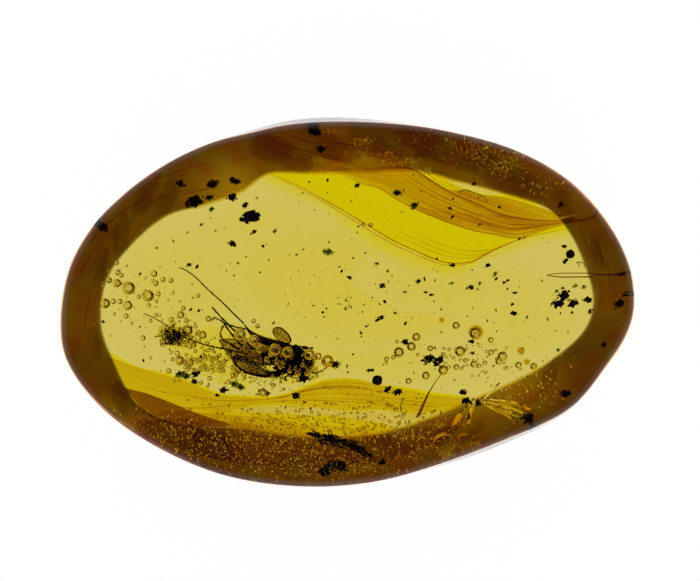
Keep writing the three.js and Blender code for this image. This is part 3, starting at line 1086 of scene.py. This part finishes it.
# Each dark line: its points, the radius at its start and at its end.
CRACK_LINES = (
    (((3.6, -6.0, 4), (3.85, -5.5, 4), (4.15, -4.9, 4), (4.5, -4.3, 4), (4.95, -3.7, 4)), 0.07, 0.014),
    (((3.75, -5.9, 4), (4.0, -5.3, 4), (4.2, -4.9, 4)), 0.05, 0.014),
    (((10.4, 1.38, 4), (11.2, 1.47, 4), (12.8, 1.46, 4)), 0.014, 0.03),
    (((10.4, 1.36, 4), (11.2, 1.27, 4), (12.8, 1.28, 4)), 0.024, 0.04),
    (((12.8, 1.4, 4.6), (13.8, 1.4, 5.0), (14.3, 1.4, 5.2)), 0.03, 0.05),
)


def add_gap(shape, near, far, z, height, lean):
    """A thin upright gap that leans, so that it mirrors the bright window up to the eye."""
    near, far = Vector(near), Vector(far)
    along = far - near
    across = Vector((-along.y, along.x)).normalized() * lean * height
    start = len(shape.faces)

    def point_at(u, v):
        middle = near.lerp(far, u) + across * (v - 0.5)
        fullness = math.sqrt(math.sin(math.pi * (0.1 + 0.8 * u)))
        return Vector((middle.x, middle.y, z + height * fullness * (0.5 - v)))

    add_skin(shape, point_at, 8, 2, 0.03)
    shape.faces[start:] = [face[::-1] for face in shape.faces[start:]]


def add_crack_fan(shape, draws, apex, first, last, z, blades):
    """A fan of thin gaps from an apex to a ragged far edge."""
    apex = Vector(apex)
    for i in range(blades):
        share = min(1.0, max(0.0, (i + draws.uniform(-0.6, 0.6)) / (blades - 1)))
        far = apex.lerp(Vector(first).lerp(Vector(last), share), draws.uniform(0.6, 1.08))
        near = apex.lerp(far, draws.uniform(0.0, 0.25))
        add_gap(shape, near, far, z, draws.uniform(0.2, 0.8), draws.uniform(0.15, 0.4))


def make_cracks():
    """The bright fans and gaps, and the dark needle-like lines."""
    bright, dark = Shape(), Shape()
    draws = random.Random(41)
    for fan in CRACK_FANS:
        add_crack_fan(bright, draws, *fan)
    for gap in BRIGHT_GAPS:
        add_gap(bright, *gap)
    for line in CRACK_LINES:
        add_taper(dark, *line)
    make_piece("crack_fans", bright, bubble_material("crack_gas"), smooth=False)
    crack_film = film_material("crack_film", (0.3, 0.18, 0.03), (0.12, 0.07, 0.01), 1.0)
    make_piece("crack_lines", dark, crack_film)


# ---------------------------------------------------------------- the insect

BODY_Z = 4.0

# Along the back, from the tip of the folded wings to the neck, and along the abdomen to its tip.
BACK = ((-5.4, -1.2), (-5.05, -1.6), (-4.5, -1.95), (-3.9, -2.15), (-3.35, -2.28), (-2.9, -2.4))
ABDOMEN = ((-3.3, -2.95), (-3.9, -2.85), (-4.5, -2.75), (-5.1, -2.62), (-5.6, -2.45), (-6.0, -2.3))


def tapering(sizes, steps):
    """Radii that pass smoothly through the sizes."""
    return [point.x for point in smooth_path([(size, 0) for size in sizes], steps)]


# The thorax's lumps: x, y, half length, half width, turn.
THORAX_LUMPS = (
    (-3.05, -2.95, 0.45, 0.6, -0.2), (-3.3, -3.45, 0.55, 0.3, -0.2), (-2.65, -3.6, 0.5, 0.2, -0.15),
    (-2.62, -2.6, 0.26, 0.3, 0.3), (-2.55, -3.1, 0.2, 0.45, 0.1), (-3.75, -3.1, 0.3, 0.2, -0.5),
)


def make_insect_thorax():
    """The opaque thorax with its rough skin, the dark ribs along the back and the neck."""
    shape = Shape()
    draws = random.Random(2)
    for x, y, length, width, turn in THORAX_LUMPS:
        add_ball(shape, (x, y, BODY_Z), (length, width, 0.42), level=4, turn=turn, lumps=0.7, grain=2.8)
    for _ in range(150):
        x, y = draws.gauss(-3.0, 0.42), draws.gauss(-3.25, 0.36)
        size = draws.uniform(0.03, 0.12)
        place = (x, y, BODY_Z + draws.uniform(-0.2, 0.35))
        add_ball(shape, place, (size, size * 0.6, size * 0.6), turn=draws.uniform(0, 3), lumps=0.9)
    steps = 30
    for offset, thick in ((0.0, 0.05), (0.07, 0.02), (-0.2, 0.03)):
        back = smooth_path(BACK, steps)
        path = [Vector((p.x, p.y + offset * min(1, i / 8), 4.35)) for i, p in enumerate(back)]
        radii = [radius * thick for radius in tapering((0.6, 1.0, 1.5, 1.6, 1.3, 0.8), steps)]
        add_tube(shape, path, radii, sides=8)
    add_ball(shape, (-2.2, -2.42, BODY_Z), (0.24, 0.09, 0.2), level=3, turn=-0.2, lumps=0.6)
    chitin = dark_material("chitin", (0.006, 0.004, 0.002), (0.04, 0.02, 0.006), 7.0, 0.35)
    make_piece("insect_thorax", shape, chitin)


def make_insect_head():
    """The head, brown where light gets through it."""
    shape = Shape()
    add_ball(shape, (-2.05, -3.02, BODY_Z), (0.3, 0.55, 0.6), level=4, turn=0.1, lumps=0.15, grain=1.5)
    make_piece("insect_head", shape, tissue_material("head_tissue", (3300, 4100, 16000)))


def make_insect_abdomen():
    """The ringed abdomen, two brown flecks before the head and the lower feeler's tuft."""
    shape = Shape()
    add_ball(shape, (-1.75, -3.5, BODY_Z), (0.22, 0.13, 0.14), level=3, turn=-0.3, lumps=0.3)
    add_ball(shape, (-0.6, -3.3, BODY_Z), (0.2, 0.16, 0.1), level=3, turn=0.6, lumps=0.9, grain=3.0)
    steps = 24
    sizes = tapering((0.36, 0.37, 0.35, 0.28, 0.18, 0.05), steps)
    radii = [radius * (1 + 0.06 * math.sin(i * 1.9)) for i, radius in enumerate(sizes)]
    add_tube(shape, smooth_path(at_height(ABDOMEN, BODY_Z), steps), radii, sides=20, tall=0.5)
    for i in range(7):
        t = 0.3 + i * 0.62
        radius = 0.35 * (1 - 0.1 * i)
        band = at_height((curve_point(ABDOMEN, t).xy, curve_point(ABDOMEN, t + 0.14).xy), BODY_Z)
        add_tube(shape, band, (radius, radius * 0.96), sides=24, tall=0.6)
    draws = random.Random(31)
    for _ in range(200):
        x, y = draws.gauss(-9.0, 0.3), draws.gauss(-1.85, 0.22)
        size = draws.uniform(0.05, 0.17)
        place = (x, y, 4.4 + draws.gauss(0, 0.15))
        add_ball(shape, place, (size, size * 0.7, size * 0.8), turn=draws.uniform(0, 3), lumps=1.0)
    make_piece("insect_abdomen", shape, tissue_material("brown_tissue", (1600, 2600, 10000)))


def make_insect_back():
    """The thick dark base of the folded wings, along the back."""
    shape = Shape()
    steps = 24
    radii = tapering((0.02, 0.09, 0.17, 0.2, 0.18, 0.12), steps)
    add_tube(shape, smooth_path(at_height(BACK, 4.2), steps), radii, sides=12, tall=0.7)
    make_piece("insect_back", shape, tissue_material("back_tissue", (15000, 20000, 36000)))


def add_limb(shape, draws, joints, radii, spines):
    """A leg: segments that swell at the joints, with spines along them."""
    steps = 6
    for i in range(len(joints) - 1):
        a, b = Vector(joints[i]), Vector(joints[i + 1])
        path = [a.lerp(b, k / (steps - 1)) for k in range(steps)]
        bulge = [radii[i] * (0.7 + 0.4 * math.sin(math.pi * k / (steps - 1))) for k in range(steps)]
        add_tube(shape, path, bulge, sides=8)
        add_ball(shape, b, (radii[i] * 0.9,) * 3)
        for _ in range(spines):
            root = a.lerp(b, draws.uniform(0.1, 1.0))
            away = Vector((draws.gauss(0, 1), draws.gauss(0, 1), draws.gauss(0, 0.4))).normalized()
            tip = root + (away + (b - a).normalized() * 0.8).normalized() * draws.uniform(0.06, 0.17)
            add_hair(shape, root, tip, (0.013, 0.01, 0.003))


# Each leg: z, joints from the body outwards, a radius for each segment.
LEGS = (
    (4.7, ((-5.6, -1.75), (-6.0, -1.42), (-6.35, -1.05), (-6.6, -0.82), (-7.05, -0.3)),
     (0.06, 0.05, 0.045, 0.04)),
    (4.6, ((-5.3, -1.45), (-5.75, -1.35), (-6.35, -1.16), (-6.65, -0.97), (-6.95, -0.82), (-7.07, -0.95)),
     (0.055, 0.04, 0.035, 0.03, 0.025)),
    (4.8, ((-5.45, -2.35), (-5.8, -2.0), (-6.15, -1.55), (-6.5, -1.05)), (0.055, 0.05, 0.045)),
    (4.5, ((-5.7, -2.5), (-6.1, -2.2), (-6.5, -2.0), (-6.66, -1.65), (-6.5, -1.3)),
     (0.05, 0.04, 0.035, 0.03)),
    (3.6, ((-4.2, -2.8), (-5.0, -2.45), (-5.4, -2.0), (-5.9, -1.9)), (0.07, 0.05, 0.04)),
    (3.8, ((-2.7, -3.7), (-2.45, -3.95), (-2.25, -4.2), (-2.1, -3.95), (-1.95, -4.1)),
     (0.09, 0.06, 0.04, 0.03)),
    (4.0, ((-2.1, -3.6), (-1.7, -3.75), (-1.3, -3.6), (-0.95, -3.3), (-0.7, -3.35)),
     (0.035, 0.03, 0.025, 0.025)),
)

# Thin curved lines below and before the head.
MOUTH_ARCS = (
    ((-3.2, -3.85), (-2.6, -4.0), (-2.1, -4.05), (-1.8, -3.9), (-1.62, -3.6), (-1.6, -3.3)),
    ((-3.0, -3.75), (-2.4, -3.85), (-1.95, -3.85), (-1.72, -3.6)),
    ((-2.2, -2.35), (-1.85, -2.5), (-1.7, -2.9), (-1.75, -3.3), (-1.95, -3.6)),
)


def make_insect_legs():
    """The legs, and the thin arcs round the head."""
    shape = Shape()
    draws = random.Random(11)
    for z, joints, radii in LEGS:
        add_limb(shape, draws, at_height(joints, z), radii, spines=9)
    for arc in MOUTH_ARCS:
        add_taper(shape, at_height(arc, 4.3), 0.022, 0.012, steps=24)
    material = dark_material("leg_chitin", (0.008, 0.005, 0.002), (0.05, 0.025, 0.008), 8.0, 0.4)
    make_piece("insect_legs", shape, material)


UPPER_FEELER = (
    (-5.4, -1.15), (-5.85, -0.72), (-6.55, -0.02), (-7.3, 0.65), (-7.85, 1.2), (-8.35, 1.58), (-8.75, 1.77),
)
LOWER_FEELER = (
    (-5.2, -2.75), (-6.2, -2.5), (-6.6, -2.43), (-7.3, -2.28), (-8.0, -2.05), (-8.7, -1.75), (-9.4, -1.25),
    (-10.1, -0.85), (-10.6, -0.63),
)


def make_insect_feelers():
    """The two long feelers, ringed and slightly bent."""
    shape = Shape()
    steps = 90
    for points, thick, thin in ((UPPER_FEELER, 0.045, 0.028), (LOWER_FEELER, 0.05, 0.022)):
        path = smooth_path(at_height(points, 4.6), steps)
        radii = [(thick + (thin - thick) * i / steps) * (1.0 if i % 3 else 0.75) for i in range(steps)]
        add_tube(shape, path, radii, sides=8)
    material = dark_material("feeler_chitin", (0.01, 0.006, 0.003), (0.05, 0.025, 0.01), 8.0, 0.4)
    make_piece("insect_feelers", shape, material)


def make_insect_bristles():
    """Short hairs on the back and belly, the matted tuft on the lower feeler, and hairs on a fleck."""
    shape = Shape()
    draws = random.Random(19)
    for _ in range(300):
        angle = draws.uniform(0, 2 * math.pi)
        out_x, out_y = math.cos(angle), math.sin(angle)
        root = Vector((-3.3 + 1.1 * out_x, -3.1 + 0.65 * out_y, BODY_Z + draws.uniform(-0.2, 0.5)))
        away = Vector((out_x - 0.6, out_y, draws.uniform(0, 0.8))).normalized()
        tip = root + away * draws.uniform(0.1, 0.3)
        add_hair(shape, root, tip, (0.012, 0.009, 0.003), middle=0.6)
    for _ in range(230):
        thick = 0.02 + 0.02 * draws.random()
        x, y = -9.05 + draws.gauss(0, 0.33), -1.85 + draws.gauss(0, 0.24)
        root = Vector((x, y, 4.4 + draws.gauss(0, 0.12)))
        tip = root + Vector((draws.gauss(0, 0.09), draws.gauss(0, 0.08), draws.gauss(0, 0.05)))
        bend = root.lerp(tip, 0.5) + Vector((draws.gauss(0, 0.04), draws.gauss(0, 0.04), 0))
        add_tube(shape, (root, bend, tip), (thick, 0.03, 0.01), sides=4)
    for _ in range(60):
        root = Vector((-0.6 + draws.gauss(0, 0.1), -3.3 + draws.gauss(0, 0.08), BODY_Z))
        tip = root + Vector((draws.gauss(0.02, 0.07), draws.gauss(0, 0.07), 0.03))
        add_hair(shape, root, tip, (0.02, 0.015, 0.004))
    material = dark_material("bristle", (0.008, 0.005, 0.002), (0.05, 0.025, 0.006), 9.0, 0.5)
    make_piece("insect_bristles", shape, material)


def add_wing(skin, veins, lead, trail, z, lift, long_veins, margin):
    """A rippled skin between two edges, with thick margins, long veins and a few cross veins."""
    def point_at(u, v):
        flat = between(lead, trail, u, v)
        ripple = lift * math.sin(math.pi * v) + 0.04 * noise.noise(Vector((u * 5, v * 4, z)))
        return Vector((flat.x, flat.y, z + ripple))

    add_skin(skin, point_at, 30, 10, 0.012)
    steps = 24
    inner = [(k / (long_veins + 1), 0.02) for k in range(1, long_veins + 1)]
    for v, thick in [(0.0, margin), (1.0, 0.035)] + inner:
        path = [point_at(i / (steps - 1), v) for i in range(steps)]
        add_tube(veins, path, [thick * (1 - 0.5 * i / (steps - 1)) for i in range(steps)])
    for k in range(5):
        u = 0.25 + 0.14 * k
        path = [point_at(u + 0.03 * i, i / 4) for i in range(5)]
        add_tube(veins, path, [0.011] * 5, sides=4)


# Each wing: leading edge, trailing edge, z, lift of its middle, number of long veins, radius of its margin.
WINGS = (
    (((-3.5, -3.8), (-3.96, -3.86), (-4.4, -3.87), (-5.0, -3.77), (-5.46, -3.58), (-5.83, -3.28),
      (-6.0, -2.95)),
     ((-3.6, -3.6), (-4.1, -3.66), (-4.4, -3.5), (-4.86, -3.2), (-5.3, -2.92), (-5.75, -2.78),
      (-5.98, -2.86)),
     4.6, 0.06, 4, 0.09),
    (((-3.0, -2.2), (-3.9, -2.2), (-4.8, -2.1), (-5.6, -2.05), (-6.2, -1.95), (-6.75, -2.0)),
     ((-3.2, -3.1), (-4.0, -3.3), (-4.9, -3.15), (-5.7, -3.0), (-6.2, -2.8), (-6.7, -2.15)),
     3.4, 0.1, 4, 0.04),
    (((-3.2, -2.6), (-4.0, -2.75), (-4.8, -2.9), (-5.4, -2.8), (-6.0, -2.6), (-6.4, -2.6)),
     ((-3.2, -3.2), (-4.0, -3.3), (-4.9, -3.3), (-5.5, -3.15), (-6.1, -2.95), (-6.4, -2.7)),
     3.6, 0.08, 3, 0.03),
    (((-2.97, -2.12), (-3.0, -1.9), (-3.2, -1.6), (-3.5, -1.37), (-3.8, -1.38), (-3.92, -1.55)),
     ((-3.1, -2.17), (-3.3, -2.16), (-3.45, -2.12), (-3.65, -1.98), (-3.82, -1.78), (-3.93, -1.6)),
     4.2, 0.05, 1, 0.05),
)


def make_insect_wings():
    """A leaf-shaped wing below the body, a pair folded over the abdomen and a raised lobe."""
    skin, veins = Shape(), Shape()
    for wing in WINGS:
        add_wing(skin, veins, *wing)
    wing_skin = film_material("wing_skin", (0.56, 0.43, 0.07), (0.32, 0.22, 0.015), 2.2, 0.3, 3.0)
    make_piece("insect_wings", skin, wing_skin)
    vein = dark_material("vein", (0.01, 0.006, 0.003), (0.05, 0.025, 0.01), 8.0, 0.4)
    make_piece("insect_wing_veins", veins, vein)


def make_insect():
    make_insect_thorax()
    make_insect_head()
    make_insect_abdomen()
    make_insect_back()
    make_insect_legs()
    make_insect_feelers()
    make_insect_bristles()
    make_insect_wings()


# ---------------------------------------------------------------- floor, light and camera

FLOOR_Z = -0.12
FLOOR_REACH = 400.0
FLOOR_COLOUR = (0.25, 0.25, 0.25)
FLOOR_GLOW = 0.945

# The studio's brightness low down and straight above.
STUDIO_LOW = (0.8, 0.8, 0.8)
STUDIO_TOP = (0.015, 0.015, 0.015)

# The camera looks at this point, and its picture is this wide at the girdle.
LOOK_AT = (0.13, 0.58)
PICTURE_WIDTH = 36.9


def make_floor():
    """A pale light table, a little under the pebble."""
    material, tree, output = new_material("light_table")
    matt = tree.nodes.new("ShaderNodeBsdfDiffuse")
    matt.inputs["Color"].default_value = (*FLOOR_COLOUR, 1)
    glow = tree.nodes.new("ShaderNodeEmission")
    glow.inputs["Strength"].default_value = FLOOR_GLOW
    both = tree.nodes.new("ShaderNodeAddShader")
    tree.links.new(matt.outputs["BSDF"], both.inputs[0])
    tree.links.new(glow.outputs["Emission"], both.inputs[1])
    tree.links.new(both.outputs["Shader"], output.inputs["Surface"])
    corners = [(x * FLOOR_REACH, y * FLOOR_REACH, FLOOR_Z) for x, y in ((-1, -1), (1, -1), (1, 1), (-1, 1))]
    mesh = bpy.data.meshes.new("light_table")
    mesh.from_pydata([Vector(c) * UNIT for c in corners], [], [(0, 1, 2, 3)])
    mesh.materials.append(material)
    floor = bpy.data.objects.new("light_table", mesh)
    bpy.context.scene.collection.objects.link(floor)


def make_world():
    """A soft studio, dark straight above where the camera is."""
    world = bpy.data.worlds.new("studio")
    bpy.context.scene.world = world
    world.use_nodes = True
    tree = world.node_tree
    direction = tree.nodes.new("ShaderNodeTexCoord")
    parts = tree.nodes.new("ShaderNodeSeparateXYZ")
    tree.links.new(direction.outputs["Generated"], parts.inputs["Vector"])
    ramp = add_ramp(tree, parts.outputs["Z"], STUDIO_LOW, STUDIO_TOP, 0.3, 0.78)
    tree.links.new(ramp.outputs["Color"], tree.nodes["Background"].inputs["Color"])


def make_camera():
    """Straight above the pebble, which fills four fifths of the picture's width."""
    data = bpy.data.cameras.new("camera")
    data.lens = 150
    data.sensor_width = 36
    data.clip_start = 0.001
    camera = bpy.data.objects.new("camera", data)
    bpy.context.scene.collection.objects.link(camera)
    distance = PICTURE_WIDTH * data.lens / data.sensor_width + GIRDLE_Z
    camera.location = Vector((*LOOK_AT, distance)) * UNIT
    bpy.context.scene.camera = camera


def set_up_rendering():
    """Plain colours, and enough bounces for light to get through everything sealed in the resin."""
    scene = bpy.context.scene
    scene.view_settings.view_transform = "Standard"
    scene.cycles.max_bounces = 32
    scene.cycles.transmission_bounces = 32
    scene.cycles.glossy_bounces = 16


make_camera()
make_world()
make_floor()
set_up_rendering()
make_pebble()
make_flows()
make_rim_painted_shade()
make_rim_clouds()
make_rim_veils()
make_flow_sheets()
make_flow_lines()
make_large_bubbles()
make_tiny_bubbles()
make_rim_bubbles()
make_crumbs()
make_discs()
make_dust()
make_splinter()
make_cracks()
make_insect()
